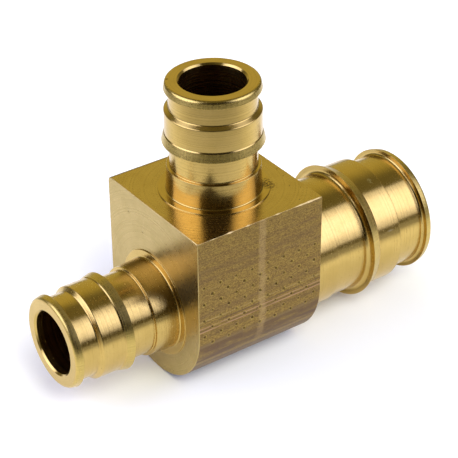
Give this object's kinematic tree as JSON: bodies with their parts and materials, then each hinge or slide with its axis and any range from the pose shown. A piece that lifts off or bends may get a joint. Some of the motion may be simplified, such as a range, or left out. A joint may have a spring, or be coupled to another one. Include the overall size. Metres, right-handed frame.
{
  "type": "pex tee",
  "caption": "Brass reducing tee for expanded plastic pipe: a round-bottomed bar block with barbed inserts on the branch and both run ends, and drilled waterways.",
  "frame": {"origin": "where the run axis crosses the branch axis", "axes": "+X along the run towards the large insert, +Z along the branch towards its tip"},
  "size_m": [0.0681, 0.025, 0.0487],
  "materials": {
    "brass": "turned and semi-bright, with two drawn flanks left dull"
  },
  "bodies": {
    "root": {"tee_body": "brass"}
  },
  "joints": []
}
